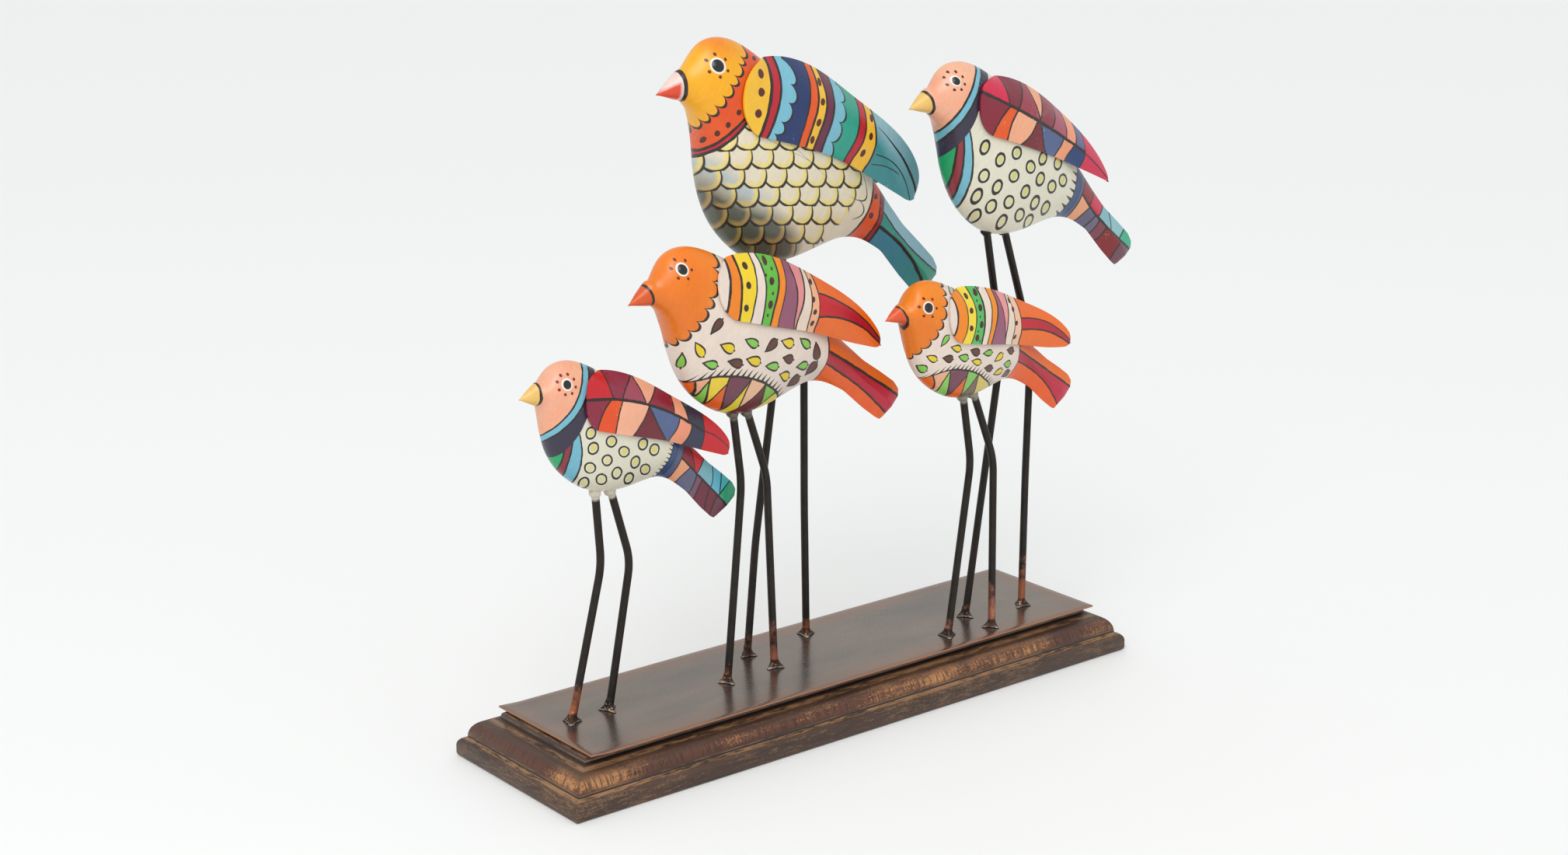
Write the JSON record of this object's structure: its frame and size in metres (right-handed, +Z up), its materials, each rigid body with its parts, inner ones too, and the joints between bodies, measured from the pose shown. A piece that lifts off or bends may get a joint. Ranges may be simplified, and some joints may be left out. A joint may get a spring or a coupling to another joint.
{
  "type": "bird figurine",
  "caption": "Table ornament of painted sheet-metal birds standing on bent wire legs above a metal-topped, moulded wooden plinth.",
  "frame": {"origin": "middle of the plinth's underside, on the surface it stands on", "axes": "+Z up, +X along the plinth to the right, away from the way the birds look, -Y towards the side the picture shows"},
  "size_m": [0.4169, 0.1106, 0.3636],
  "materials": {
    "plinth_wood": "dark stain, rubbed through to orange brown on the crest of the moulding, satin",
    "plate_metal": "dark copper-toned lacquer, glossy",
    "leg_wire": "black, satin, worn to copper brown near the feet",
    "ringed_body_paint": "hand-painted, cream with dark rings, peach head and blue bands, satin",
    "patchwork_wing_paint": "hand-painted patchwork of reds, peach, orange and blue, satin",
    "leafy_body_paint": "hand-painted, cream with small leaves, orange head and tail, satin",
    "striped_wing_paint": "hand-painted stripes of orange, yellow, green, cream and purple, satin",
    "scaled_body_paint": "hand-painted, cream with black scales, yellow head, orange collar, teal tail, satin",
    "banded_wing_paint": "hand-painted bands of yellow, red, light blue, navy, orange, purple and teal, satin"
  },
  "bodies": {
    "root": {"plinth": "plinth_wood", "plate": "plate_metal", "left_bird_body": "ringed_body_paint", "left_bird_near_wing": "patchwork_wing_paint", "left_bird_far_wing": "patchwork_wing_paint", "left_bird_front_leg": "leg_wire", "left_bird_rear_leg": "leg_wire", "middle_bird_body": "leafy_body_paint", "middle_bird_near_wing": "striped_wing_paint", "middle_bird_far_wing": "striped_wing_paint", "middle_bird_front_leg": "leg_wire", "middle_bird_rear_leg": "leg_wire", "tall_bird_body": "scaled_body_paint", "tall_bird_near_wing": "banded_wing_paint", "tall_bird_far_wing": "banded_wing_paint", "tall_bird_front_leg": "leg_wire", "tall_bird_rear_leg": "leg_wire", "right_bird_body": "leafy_body_paint", "right_bird_near_wing": "striped_wing_paint", "right_bird_far_wing": "striped_wing_paint", "right_bird_front_leg": "leg_wire", "right_bird_rear_leg": "leg_wire", "upper_bird_body": "ringed_body_paint", "upper_bird_near_wing": "patchwork_wing_paint", "upper_bird_far_wing": "patchwork_wing_paint", "upper_bird_front_leg": "leg_wire", "upper_bird_rear_leg": "leg_wire"}
  },
  "joints": []
}
